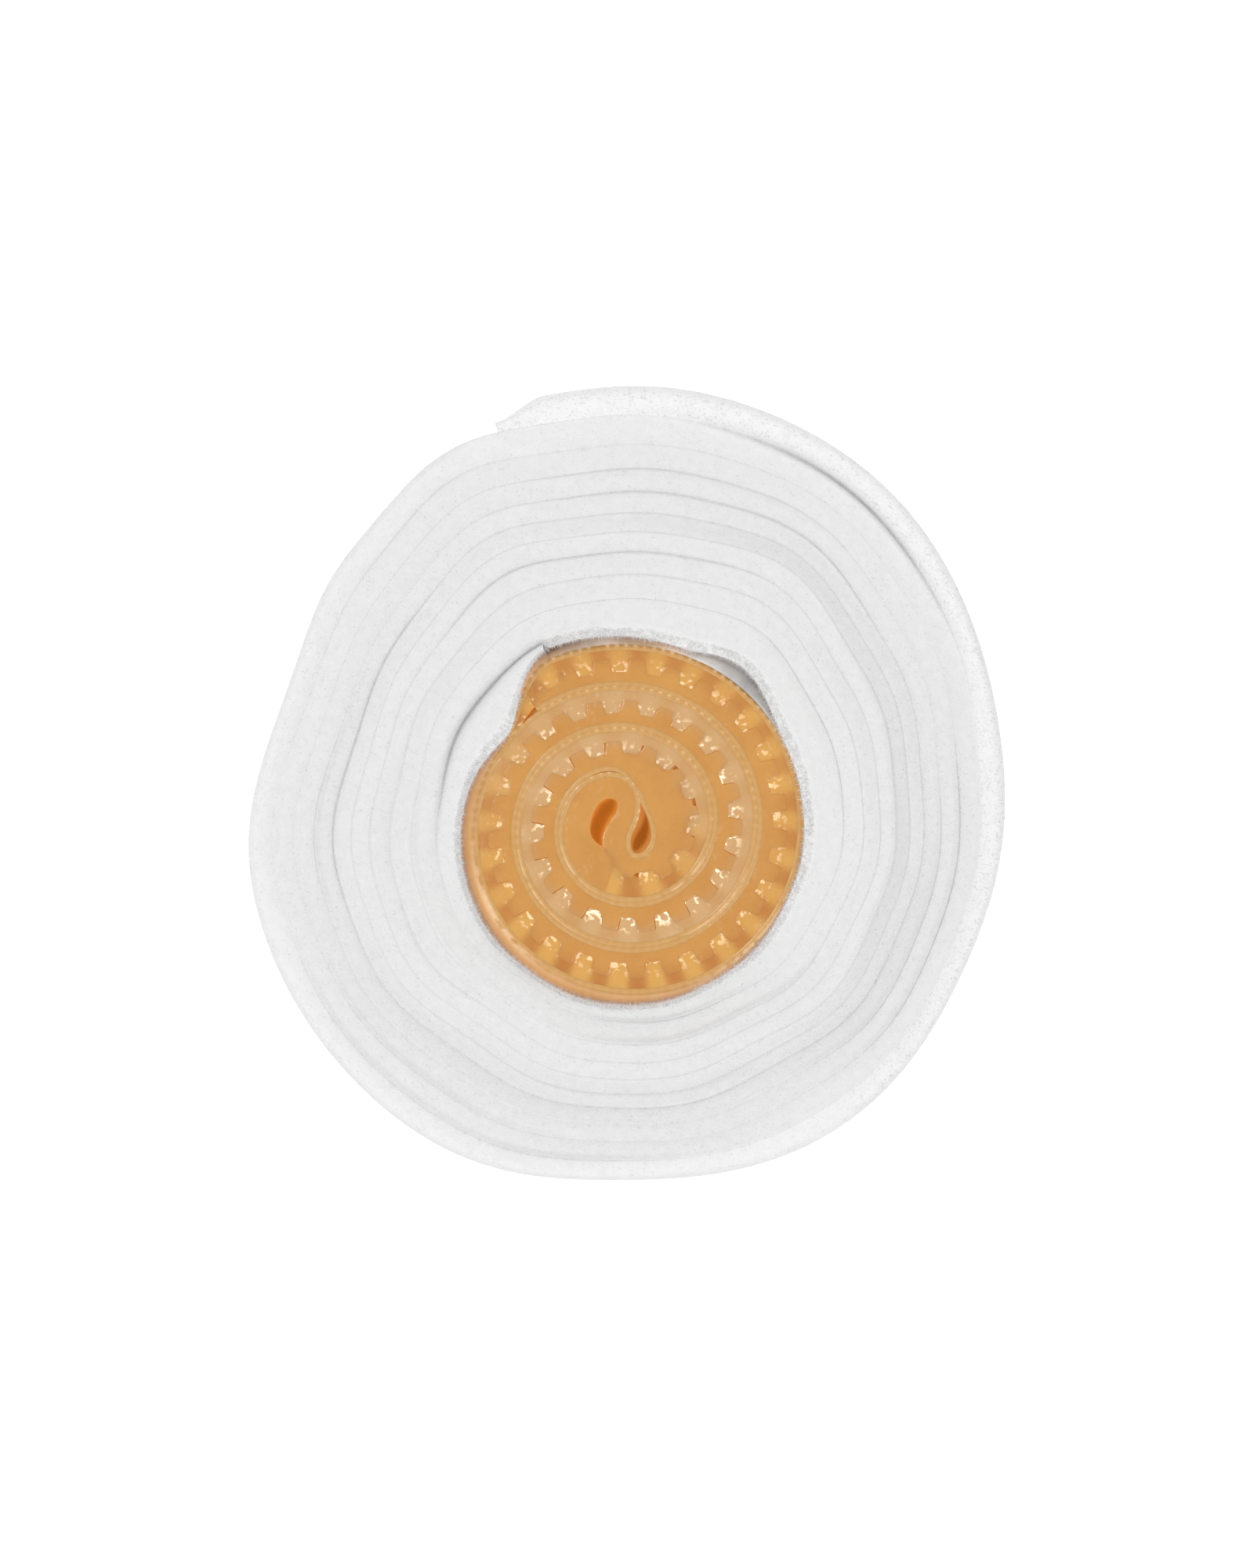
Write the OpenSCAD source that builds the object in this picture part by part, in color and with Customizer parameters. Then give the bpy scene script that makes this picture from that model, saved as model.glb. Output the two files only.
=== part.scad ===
// Soft roll: a long strip of fleece wound round a coil of ribbed gel strip.
// The roll stands on its end. Z is the axis of the winding.

/* [Fleece] */
// Width of the fleece, which is the height of the standing roll
fleece_w = 100; // [60:5:150]
// Mean radius of the roll under its outermost turn
roll_r = 43.4; // [36:0.2:60]
// Thickness of one layer of fleece
fleece_t = 2.4; // [1.6:0.1:3.4]
// Direction of the loose outer end, in degrees round the roll
free_end = 110; // [90:5:130]
// Length of the loose end, in degrees round the roll
loose_turn = 95; // [60:5:110]

/* [Ribbed strip] */
// Width of the strip, which is the height of the coil
strip_w = 98; // [58:2:148]
// Thickness of the web that carries the ribs
web_t = 1.25; // [0.8:0.05:1.8]
// Height of a rib
rib_h = 1.44; // [1:0.04:1.8]
// Width of a rib
rib_w = 1.6; // [1:0.1:1.8]
// Distance from one rib to the next
rib_pitch = 4.1; // [3.8:0.1:5]
// Reach of the S-shaped fold at the middle of the coil
fold_r = 4.7; // [4.4:0.1:5.4]
// How far the inner half is pinched in beside the fold
pinch_h = 1.4; // [1:0.1:1.5]
// Direction of the fold, in degrees
fold_dir = 63; // [0:1:180]
// Turn of the outer half of the strip about the fold, in degrees
outer_half = 1130; // [960:10:1200]
// Turn of the inner half of the strip about the fold, in degrees
inner_half = 964; // [900:4:1000]

/* [Backing and sleeve] */
// Thickness of the woven backing on the smooth side of the strip
backing_t = 0.5; // [0.3:0.05:0.7]
// Thickness of the clear sleeve round the coil
film_t = 0.2; // [0.1:0.05:0.4]
// Height of the clear sleeve
film_w = 99; // [59:2:149]
// Height of the bulge in the sleeve, where it stands off the coil
bulge_h = 1.6; // [0:0.1:2]

/* [Fits] */
// Gap between pieces that move apart
clearance = 0.3; // [0.2:0.05:0.5]
// Gap between two turns that lie against each other
seam = 0.05; // [0.03:0.01:0.1]

/* [Place of the coil] */
// Offset of the coil from the middle of the roll, to the right
coil_x = -0.45; // [-2:0.05:2]
// Offset of the coil from the middle of the roll, to the back
coil_y = -4.3; // [-6:0.1:0]
// Settling of the outermost turns of the coil, to the right
settle_x = 0.4; // [-1:0.1:1]
// Settling of the outermost turns of the coil, to the front
settle_y = -0.9; // [-1:0.1:0]

/* [Hidden] */

fleece_step = 3;                       // degrees between points of the fleece outline
strip_step = 4;                        // degrees between points of the strip
half_pitch = web_t + backing_t + rib_h / 2 + seam;
pitch = 2 * half_pitch;                // growth of the coil in one turn of both halves
back = half_pitch / 2 - seam / 2;      // outside of the backing, from the strip's line
glue = back - backing_t;               // face between web and backing
root = glue - web_t;                   // foot of the ribs, which points the other way
tip = rib_h - root - seam / 2;         // top of the ribs
coil_r = half_r(outer_half) + back;    // radius of the coil at its outer end
first_outer = 190;                     // degrees from the fold where the outer ribs start
first_inner = 200;                     // and where the inner ones start
closed_h = 1.3;                        // ribs near the fold close up into a wall this thick
knuckle_h = 1;                         // extra thickness where the fold's inside meets it
end_dir = fold_dir + outer_half;       // direction in which the strip's outer end lies
ramp_turn = 62;                        // degrees in which the sleeve steps down a turn
bulge_dir = 50;
bulge_spread = 18;
colour_fleece = [0.93, 0.93, 0.93];
colour_gel = [0.86, 0.63, 0.35];

// Waves of the roll's outline: how many round the roll, height, direction of the first
LOBES = [[1, 1.2, 255], [2, 1.4, 75], [3, 0.6, 85], [4, 0.4, 35], [6, 0.3, 5], [7, 0.3, 40]];

function add(list, i = 0) = i < len(list) ? list[i] + add(list, i + 1) : 0;
function part_turn(a) = a - 360 * floor(a / 360);
function smooth(x) = let (t = min(max(x, 0), 1)) t * t * (3 - 2 * t);
function ray(r, a) = r * [cos(a), sin(a)];

// --- Fleece -------------------------------------------------------------------------

// Outside of the winding at direction a. It grows by one layer in each turn, and it
// drops by a layer at the loose end. layers shifts it inwards by whole layers.
function winding_r(a, layers = 0) =
    roll_r + add([for (w = LOBES) w[1] * cos(w[0] * (a - w[2]))])
    + fleece_t * ((a - free_end) / 360 - layers);

// --- Coil ---------------------------------------------------------------------------

function tanh(x) = let (e = exp(-2 * abs(x))) sign(x) * (1 - e) / (1 + e);

// A bell curve: 1 at the middle, nearly nothing at twice the spread
function bell(x, middle, spread) = exp(-pow((x - middle) / spread, 2));

// Distance from the fold after p degrees of turn: a steep start, then an even spiral
function half_r(p) = pitch * p / 360 + fold_r * tanh(p / 26);
function pinch(p) = pinch_h * bell(p, 115, 48) * tanh(p / 26);

// The coil sits lower the further out a turn lies
function settle(v) = v + [coil_x, coil_y] + [settle_x, settle_y] * pow(norm(v) / coil_r, 2);

// The strip's line. Positive p runs along the outer half, negative p along the inner one.
function strip_line(p) = p < 0
    ? -ray(half_r(-p) - pinch(-p), fold_dir - p)
    : ray(half_r(p), fold_dir + p);

function left_of(p) =
    let (d = strip_line(p + 0.5) - strip_line(p - 0.5)) [-d.y, d.x] / norm(d);

function beside(p, h) = settle(strip_line(p) + h * left_of(p));

// Line between two turns whose ribs mesh: its length after q degrees, and the reverse
growth = pitch / (2 * PI);
function turn_at(s) = (sqrt(pow(fold_r, 2) + 2 * growth * s) - fold_r) / growth * 180 / PI;
function length_at(q) = growth * pow(q * PI / 180, 2) / 2 + fold_r * q * PI / 180;

// One rib between turns p1 and p2, with the foot of the groove after it up to p3
function rib(p1, p2, p3) = [
    beside(p1, -root), beside(p1, tip), beside((p1 + p2) / 2, tip),
    beside(p2, tip), beside(p2, -root), beside((p2 + p3) / 2, -root)
];

// Ribs of the outer half: they point inwards, one in each pitch
outer_ribs = [for (n = [0 : floor(length_at(outer_half - 90) / rib_pitch) - 1])
    let (s = (n + 0.2) * rib_pitch)
    let (p = turn_at(s) + 90)
    if (p > first_outer)
        rib(p, turn_at(s + rib_w) + 90, turn_at(s + rib_pitch) + 90)];

// Ribs of the inner half: they point outwards, into the grooves of the outer half
inner_ribs = [for (n = [floor(length_at(inner_half + 90) / rib_pitch) - 1 : -1 : 0])
    let (s = (n + 0.7) * rib_pitch)
    let (p = turn_at(s) - 90)
    if (p > first_inner)
        rib(90 - turn_at(s + rib_w), -p, 90 - turn_at(s - rib_pitch + rib_w))];

// Near the fold the bend closes the ribs up into one thicker wall
function outer_wall(p) =
    (closed_h + knuckle_h * bell(p, 158, 28)) * smooth((p + 5) / 35) * smooth((205 - p) / 40)
    + rib_h / 3 * smooth(1 - abs(p) / 20);
function inner_wall(p) = 0.85 * pinch(p);
fold_side = [for (p = [10 - first_inner : 5 : first_outer])
    beside(p, (p > -25 ? outer_wall(p) : inner_wall(-p)) - root)];

function flat(lists) = [for (l = lists) for (v = l) v];
function smooth_side(h) = [for (i = [0 : ceil((inner_half + outer_half) / strip_step)])
    beside(min(i * strip_step - inner_half, outer_half), -h)];
function reversed(l) = [for (i = [len(l) - 1 : -1 : 0]) l[i]];

// Sleeve: it follows the outermost turn, steps down past the strip's end and bulges
function sleeve_r(a) =
    let (q = part_turn(a - end_dir))
    let (bulge = bulge_h * bell(part_turn(a - bulge_dir + 180), 180, bulge_spread))
    coil_r - pitch * (smooth(q / ramp_turn) - q / 360) + seam + bulge;
function sleeve_outline(grow) = [for (a = [0 : fleece_step : 360 - fleece_step])
    settle(ray(sleeve_r(a) + grow, a))];

// Outline of the roll without its loose end, and of the loose end
last = free_end + 360;
wrap_outline = concat(
    [for (a = [free_end : fleece_step : last - loose_turn]) ray(winding_r(a), a)],
    [for (a = [last - loose_turn : fleece_step : last - 1]) ray(winding_r(a, 1), a)]);
tail_start = last - loose_turn + clearance / roll_r * 180 / PI;
tail_face = concat([for (a = [tail_start : fleece_step : last - 1]) a], [last]);
tail_outline = concat(
    [for (a = tail_face) ray(winding_r(a), a)],
    [for (a = reversed(tail_face)) ray(winding_r(a, 1) + clearance, a)]);

// The origin lies under the middle of the whole roll's box
xs = [for (v = concat(wrap_outline, tail_outline)) v.x];
ys = [for (v = concat(wrap_outline, tail_outline)) v.y];
middle = [min(xs) + max(xs), min(ys) + max(ys), 0] / 2;
module centred() translate(-middle) children();

// --- Pieces -------------------------------------------------------------------------

module fleece_wrap() {
    color(colour_fleece) centred() linear_extrude(fleece_w) difference() {
        polygon(wrap_outline);
        polygon(sleeve_outline(film_t + clearance));
    }
}

module fleece_tail() {
    color(colour_fleece) centred() translate([0, 0, clearance])
        linear_extrude(fleece_w - clearance) polygon(tail_outline);
}

module ribbed_strip() {
    color(colour_gel) centred() linear_extrude(strip_w)
        polygon(concat(flat(inner_ribs), fold_side, flat(outer_ribs),
                       reversed(smooth_side(glue))));
}

module scrim_backing() {
    color("bisque") centred() linear_extrude(strip_w)
        polygon(concat(smooth_side(glue), reversed(smooth_side(back))));
}

module clear_film() {
    color("lightcyan", 0.4) centred() linear_extrude(film_w) difference() {
        polygon(sleeve_outline(film_t));
        polygon(sleeve_outline(0));
    }
}

fleece_wrap();
fleece_tail();
ribbed_strip();
scrim_backing();
clear_film();
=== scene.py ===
"""Looks of a soft roll: fleece padding wound round a coil of ribbed gel strip.

The roll stands on its end. Everything is worked out in millimetres about the middle of
the winding and is written into the meshes in metres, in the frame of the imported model.
"""

import logging
from dataclasses import dataclass, field
from enum import Enum
from typing import Sequence

import bpy
import numpy as np
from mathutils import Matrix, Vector


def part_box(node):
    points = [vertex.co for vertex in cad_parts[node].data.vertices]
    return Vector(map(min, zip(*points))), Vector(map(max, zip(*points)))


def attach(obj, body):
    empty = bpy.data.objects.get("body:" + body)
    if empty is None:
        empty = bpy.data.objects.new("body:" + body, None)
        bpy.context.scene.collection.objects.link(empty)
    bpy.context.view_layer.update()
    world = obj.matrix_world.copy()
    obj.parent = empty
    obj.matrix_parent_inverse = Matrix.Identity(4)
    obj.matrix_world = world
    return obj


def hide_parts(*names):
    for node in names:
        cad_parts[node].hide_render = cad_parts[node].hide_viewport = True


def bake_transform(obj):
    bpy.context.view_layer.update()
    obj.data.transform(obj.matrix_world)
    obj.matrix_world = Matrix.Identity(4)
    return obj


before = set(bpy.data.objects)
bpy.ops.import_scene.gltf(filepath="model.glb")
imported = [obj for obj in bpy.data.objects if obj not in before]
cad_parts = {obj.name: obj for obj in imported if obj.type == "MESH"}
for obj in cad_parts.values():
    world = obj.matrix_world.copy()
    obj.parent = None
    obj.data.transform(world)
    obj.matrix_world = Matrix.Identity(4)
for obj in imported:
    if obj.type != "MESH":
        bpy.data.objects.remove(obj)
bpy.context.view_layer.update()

MM = 0.001
TURN = 360.0
SEED = 11
LOG = logging.getLogger("soft_roll")

Array = np.ndarray
Colour = tuple[float, float, float]
BLACK: Colour = (0.0, 0.0, 0.0)
WHITE: Colour = (1.0, 1.0, 1.0)


class Body(str, Enum):
    """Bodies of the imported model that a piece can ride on."""

    WRAP = "wrap"
    COIL = "coil"
    TAIL = "tail"


class Slot(str, Enum):
    """Material slots of the record."""

    FLEECE = "fleece"
    GEL = "gel"
    BACKING = "backing"
    FILM = "film"


# --- Shape functions ------------------------------------------------------------------


def smooth(x: Array) -> Array:
    """Eased step: 0 below 0, 1 above 1, and 3x^2 - 2x^3 between."""
    t = np.clip(x, 0.0, 1.0)
    return t * t * (3.0 - 2.0 * t)


def bell(x: Array, middle: float, spread: float) -> Array:
    """Bell curve: e to the minus ((x - middle) / spread) squared."""
    return np.exp(-(((x - middle) / spread) ** 2))


def ray(radius: Array, degrees: Array) -> Array:
    """Points at a radius in a direction: (r cos a, r sin a)."""
    angle = np.radians(degrees)
    return np.stack([radius * np.cos(angle), radius * np.sin(angle)], axis=-1)


def part_turn(degrees: Array) -> Array:
    """Direction brought into 0 to 360 degrees."""
    return np.mod(degrees, TURN)


def round_trip(degrees: Array, middle: float) -> Array:
    """Direction brought to within half a turn of the middle."""
    return np.mod(degrees - middle + TURN / 2, TURN) - TURN / 2 + middle


def wander(x: Array, waves: Sequence[tuple[float, float, float]]) -> Array:
    """Slow unevenness: the sum of height times sin(rate x + start) over the waves."""
    return sum(height * np.sin(rate * x + start) for height, rate, start in waves)


# --- Mesh helpers ---------------------------------------------------------------------


def mesh_object(name: str, points: Array, faces: list[Sequence[int]],
                finish: bpy.types.Material, values: dict[str, Array]) -> bpy.types.Object:
    """Makes a mesh object at the origin, smooth but for its end faces.

    Args:
        name: Name of the piece.
        points: Vertex places in millimetres, one row each.
        faces: Vertex numbers of each face.
        finish: Material of the piece.
        values: Named numbers for each vertex, kept as attributes.

    Returns:
        The new object, linked to the scene.
    """
    mesh = bpy.data.meshes.new(name)
    mesh.from_pydata((points * MM).tolist(), [], faces)
    sides = np.fromiter(map(len, faces), dtype=int)
    mesh.polygons.foreach_set("use_smooth", sides <= 4)
    for key, numbers in values.items():
        attribute = mesh.attributes.new(key, "FLOAT", "POINT")
        attribute.data.foreach_set("value", numbers.astype(np.float32).ravel())
    mesh.validate()
    mesh.update()
    mesh.materials.append(finish)
    piece = bpy.data.objects.new(name, mesh)
    bpy.context.scene.collection.objects.link(piece)
    return piece


def tube_faces(rows: int, columns: int, closed_path: bool = False) -> list[Sequence[int]]:
    """Faces of a closed section carried along a path.

    Vertex (i, j) is point j of the section at step i of the path. Sections run so that
    the faces point outwards. An open path gets a flat face on each end.

    Args:
        rows: Number of steps along the path.
        columns: Number of points of the section.
        closed_path: Whether the last step joins the first.

    Returns:
        Vertex numbers of each face.
    """
    steps = rows if closed_path else rows - 1
    i, j = np.meshgrid(np.arange(steps), np.arange(columns), indexing="ij")
    i_next, j_next = (i + 1) % rows, (j + 1) % columns
    corners = [i * columns + j, i_next * columns + j,
               i_next * columns + j_next, i * columns + j_next]
    faces = np.stack(corners, axis=-1).reshape(-1, 4).tolist()
    if not closed_path:
        faces.append(list(range(columns)))
        faces.append([(rows - 1) * columns + k for k in reversed(range(columns))])
    return faces


def spikes(name: str, roots: Array, leans: Array, radius: float, finish: bpy.types.Material,
           values: dict[str, Array]) -> bpy.types.Object:
    """Makes many short closed fibres as one mesh.

    Each fibre is a three-cornered pyramid: three corners round its root, at right
    angles to its lean, and a tip at root plus lean.

    Args:
        name: Name of the piece.
        roots: Place of each root in millimetres.
        leans: Vector from root to tip of each fibre in millimetres.
        radius: Radius of a root in millimetres.
        finish: Material of the piece.
        values: Named numbers for each fibre, kept as attributes.

    Returns:
        The new object.
    """
    along = leans / np.linalg.norm(leans, axis=1, keepdims=True)
    other = np.where(np.abs(along[:, 2:3]) < 0.9, [[0.0, 0.0, 1.0]], [[1.0, 0.0, 0.0]])
    side = np.cross(along, other)
    side /= np.linalg.norm(side, axis=1, keepdims=True)
    up = np.cross(along, side)
    corners = [roots + radius * (np.cos(a) * side + np.sin(a) * up)
               for a in np.radians([0.0, 120.0, 240.0])]
    points = np.stack([*corners, roots + leans], axis=1).reshape(-1, 3)
    pattern = np.array([[0, 1, 3], [1, 2, 3], [2, 0, 3], [0, 2, 1]])
    faces = (pattern[None] + 4 * np.arange(len(roots))[:, None, None]).reshape(-1, 3)
    spread = {key: np.repeat(numbers, 4) for key, numbers in values.items()}
    return mesh_object(name, points, faces.tolist(), finish, spread)


# --- Finishes -------------------------------------------------------------------------


class Nodes:
    """Short way to build a material's node tree."""

    def __init__(self, name: str) -> None:
        """Starts a material with one Principled shader."""
        self.material = bpy.data.materials.new(name)
        self.material.use_nodes = True
        self.tree = self.material.node_tree
        self.shader = self.tree.nodes["Principled BSDF"]

    def add(self, kind: str, **settings: object) -> bpy.types.Node:
        """Adds a node of a kind and sets its named properties."""
        node = self.tree.nodes.new(kind)
        for key, value in settings.items():
            setattr(node, key, value)
        return node

    def join(self, source: bpy.types.NodeSocket, target: bpy.types.NodeSocket) -> None:
        """Links one socket to another."""
        self.tree.links.new(source, target)

    def set(self, **inputs: object) -> None:
        """Sets sockets of the shader, named with underscores for spaces."""
        for key, value in inputs.items():
            self.shader.inputs[key.replace("_", " ")].default_value = value

    def noise(self, scale: float, detail: float = 4.0,
              stretch: tuple[float, float, float] = (1.0, 1.0, 1.0)) -> bpy.types.NodeSocket:
        """Adds object-space noise.

        Args:
            scale: Waves to a metre, roughly.
            detail: How many finer layers lie on it.
            stretch: Scale along each axis.

        Returns:
            The noise's value, about 0 to 1.
        """
        place = self.add("ShaderNodeTexCoord")
        mapping = self.add("ShaderNodeMapping")
        mapping.inputs["Scale"].default_value = stretch
        noise = self.add("ShaderNodeTexNoise")
        noise.inputs["Scale"].default_value = scale
        noise.inputs["Detail"].default_value = detail
        self.join(place.outputs["Object"], mapping.inputs["Vector"])
        self.join(mapping.outputs["Vector"], noise.inputs["Vector"])
        return noise.outputs["Fac"]

    def attribute(self, name: str) -> bpy.types.NodeSocket:
        """Adds a mesh attribute and returns its value."""
        return self.add("ShaderNodeAttribute", attribute_name=name).outputs["Fac"]

    def ramp(self, value: bpy.types.NodeSocket,
             stops: Sequence[tuple[float, Colour]]) -> bpy.types.NodeSocket:
        """Turns a value into a colour.

        Args:
            value: The value.
            stops: Values and the colours they give, with a blend between them.

        Returns:
            The colour.
        """
        node = self.add("ShaderNodeValToRGB")
        points = node.color_ramp.elements
        while len(points) < len(stops):
            points.new(0.5)
        for point, (position, colour) in zip(points, stops):
            point.position = position
            point.color = (*colour, 1.0)
        self.join(value, node.inputs["Fac"])
        return node.outputs["Color"]

    def plain(self, colour: Colour) -> bpy.types.NodeSocket:
        """Adds one plain colour to mix with."""
        node = self.add("ShaderNodeRGB")
        node.outputs[0].default_value = (*colour, 1.0)
        return node.outputs[0]

    def mix(self, factor: bpy.types.NodeSocket, a: bpy.types.NodeSocket,
            b: bpy.types.NodeSocket) -> bpy.types.NodeSocket:
        """Mixes two colours.

        Args:
            factor: 0 gives the first and 1 the second.
            a: First colour.
            b: Second colour.

        Returns:
            The mixed colour.
        """
        node = self.add("ShaderNodeMix", data_type="RGBA")
        self.join(factor, node.inputs[0])
        self.join(a, node.inputs[6])
        self.join(b, node.inputs[7])
        return node.outputs[2]

    def math(self, kind: str, a: bpy.types.NodeSocket, b: bpy.types.NodeSocket | float
             ) -> bpy.types.NodeSocket:
        """Adds an arithmetic node.

        Args:
            kind: Its operation.
            a: First value.
            b: Second value, from a socket or fixed.

        Returns:
            The result.
        """
        node = self.add("ShaderNodeMath", operation=kind)
        self.join(a, node.inputs[0])
        if isinstance(b, (int, float)):
            node.inputs[1].default_value = b
        else:
            self.join(b, node.inputs[1])
        return node.outputs[0]

    def bump(self, height: bpy.types.NodeSocket, depth: float, strength: float,
             below: bpy.types.NodeSocket | None = None) -> bpy.types.NodeSocket:
        """Adds a bump.

        Args:
            height: What drives it, 0 to 1.
            depth: Its depth in metres.
            strength: How strongly it shows.
            below: Normal of a bump that it lies on, if any.

        Returns:
            The new normal.
        """
        node = self.add("ShaderNodeBump")
        node.inputs["Distance"].default_value = depth
        node.inputs["Strength"].default_value = strength
        self.join(height, node.inputs["Height"])
        if below is not None:
            self.join(below, node.inputs["Normal"])
        return node.outputs["Normal"]

    def finish(self, colour: bpy.types.NodeSocket | None = None,
               normal: bpy.types.NodeSocket | None = None) -> bpy.types.Material:
        """Links the last sockets to the shader.

        Args:
            colour: Base colour, if it is driven.
            normal: Normal, if it is driven.

        Returns:
            The finished material.
        """
        if colour is not None:
            self.join(colour, self.shader.inputs["Base Color"])
        if normal is not None:
            self.join(normal, self.shader.inputs["Normal"])
        return self.material


@dataclass(frozen=True)
class FleeceFinish:
    """White napped fleece: matt, a little uneven in tone, with a painted glow where shade falls by
    the bore and in the cracks.
    """

    light: Colour = (0.91, 0.91, 0.91)
    shade: Colour = (0.72, 0.72, 0.72)
    glow: Colour = (0.20, 0.20, 0.20)
    tuft_scale: float = 900.0
    fibre_scale: float = 4200.0
    depth: float = 0.0004

    def material(self) -> bpy.types.Material:
        """Builds the material: two sizes of noise drive its tone and its bump; the tone attribute
        adds painted light and the lit attribute a painted glow.
        """
        nodes = Nodes("fleece")
        tufts = nodes.noise(self.tuft_scale, detail=5.0)
        fibres = nodes.noise(self.fibre_scale, detail=3.0, stretch=(1.0, 1.0, 0.45))
        # Tone is random tufts plus painted light from the turn's tone attribute.
        tone = nodes.math("ADD", nodes.math("MULTIPLY", tufts, 0.4), nodes.attribute("tone"))
        colour = nodes.ramp(tone, [(0.20, self.shade), (1.0, self.light)])
        # Painted glow: emission lifts the fleece where shade falls, by the bore and in the cracks.
        lit = nodes.ramp(nodes.attribute("lit"), [(0.0, BLACK), (1.0, self.glow)])
        nodes.join(lit, nodes.shader.inputs["Emission Color"])
        normal = nodes.bump(tufts, self.depth, 0.2)
        normal = nodes.bump(fibres, self.depth * 0.4, 0.6, below=normal)
        nodes.set(Roughness=1.0, Specular_IOR_Level=0.1, Sheen_Weight=0.25,
                  Sheen_Roughness=0.6, Emission_Strength=1.0)
        return nodes.finish(colour, normal)


@dataclass(frozen=True)
class GelFinish:
    """Amber gel: glossy, lit through, with frosted stretches, and painted light: paler ribs, darker
    grooves, a glow in the depths and glints.
    """

    # The paler ribs and darker grooves are painted light, for light seen through the gel's ribs.
    groove: Colour = (0.49, 0.18, 0.024)
    rib: Colour = (0.67, 0.35, 0.075)
    frost_dark: Colour = (0.55, 0.285, 0.085)
    frost_light: Colour = (0.63, 0.385, 0.17)
    # spark: colour of the painted glints at the rib tips.
    spark: Colour = (0.95, 0.90, 0.72)
    # seam and glow: painted glow along the rounded top edges and in the depths, where shade falls.
    seam: Colour = (0.24, 0.10, 0.02)
    glow: Colour = (0.17, 0.065, 0.008)

    def material(self) -> bpy.types.Material:
        """Builds the material: rib tone, frost, painted glints and a painted glow come from the
        strip's own attributes.
        """
        nodes = Nodes("gel")
        cloud = nodes.noise(260.0, detail=3.0)
        tone = nodes.attribute("tone")
        mixed = nodes.math("ADD", nodes.math("MULTIPLY", tone, 0.8),
                           nodes.math("MULTIPLY", cloud, 0.45))
        amber = nodes.ramp(mixed, [(0.20, self.groove), (0.95, self.rib)])
        frosted = nodes.ramp(mixed, [(0.2, self.frost_dark), (0.95, self.frost_light)])
        colour = nodes.mix(nodes.attribute("frost"), amber, frosted)
        # Painted glints: noise spots at the rib tips, shown as emission.
        highlight_spots = nodes.ramp(nodes.noise(1500.0, detail=1.0),
                             [(0.54, BLACK), (0.62, WHITE)])
        shine = nodes.math("MULTIPLY", highlight_spots, nodes.attribute("painted_highlight"))
        ripple = nodes.noise(420.0, detail=2.0)
        grain = nodes.noise(2400.0, detail=2.0)
        normal = nodes.bump(ripple, 0.0008, 0.5)
        normal = nodes.bump(grain, 0.00015, 0.35, below=normal)
        # Painted glow by depth below the rim.
        glow = nodes.ramp(nodes.attribute("depth"),
                          [(0.0, BLACK), (0.1, self.seam), (1.0, self.glow)])
        # The painted glints are mixed into the painted glow.
        glow = nodes.mix(shine, glow, nodes.plain(self.spark))
        nodes.join(glow, nodes.shader.inputs["Emission Color"])
        nodes.set(Roughness=0.22, IOR=1.4, Coat_Weight=0.5, Coat_Roughness=0.08,
                  Subsurface_Weight=0.35, Subsurface_Radius=(1.0, 0.6, 0.3),
                  Subsurface_Scale=0.0012, Emission_Strength=1.0)
        return nodes.finish(colour, normal)


@dataclass(frozen=True)
class BackingFinish:
    """Woven backing soaked in clear gel: pinkish, glossy, with a fine thread pattern, painted
    highlights and a painted glow.
    """

    thread: Colour = (0.62, 0.35, 0.12)
    gap: Colour = (0.57, 0.30, 0.09)
    # shine: colour of the painted highlights.
    shine: Colour = (0.62, 0.56, 0.46)
    # rim and glow: painted glow below the rim, where shade falls on the outer side.
    rim: Colour = (0.26, 0.13, 0.035)
    glow: Colour = (0.13, 0.048, 0.006)

    def material(self) -> bpy.types.Material:
        """Builds the material: the threads, painted highlights and a painted glow come from the
        backing's own attributes.
        """
        nodes = Nodes("backing")
        weave = nodes.attribute("weave")
        cloud = nodes.noise(700.0, detail=3.0)
        mixed = nodes.math("ADD", nodes.math("MULTIPLY", weave, 0.25),
                           nodes.math("MULTIPLY", cloud, 0.7))
        colour = nodes.ramp(mixed, [(0.25, self.gap), (0.85, self.thread)])
        # Painted highlights in patches of noise.
        patch = nodes.ramp(cloud, [(0.36, BLACK), (0.52, WHITE)])
        painted_highlight = nodes.math("MULTIPLY", nodes.attribute("painted_highlight"), patch)
        # Painted glow by depth below the rim.
        glow = nodes.ramp(nodes.attribute("depth"),
                          [(0.0, BLACK), (0.15, self.rim), (1.0, self.glow)])
        glow = nodes.mix(painted_highlight, glow, nodes.plain(self.shine))
        nodes.join(glow, nodes.shader.inputs["Emission Color"])
        normal = nodes.bump(mixed, 0.0001, 0.5)
        nodes.set(Roughness=0.25, IOR=1.35, Coat_Weight=0.3, Coat_Roughness=0.05,
                  Emission_Strength=1.0,
                  Subsurface_Weight=0.08, Subsurface_Radius=(1.0, 0.5, 0.2),
                  Subsurface_Scale=0.001)
        return nodes.finish(colour, normal)


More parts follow.
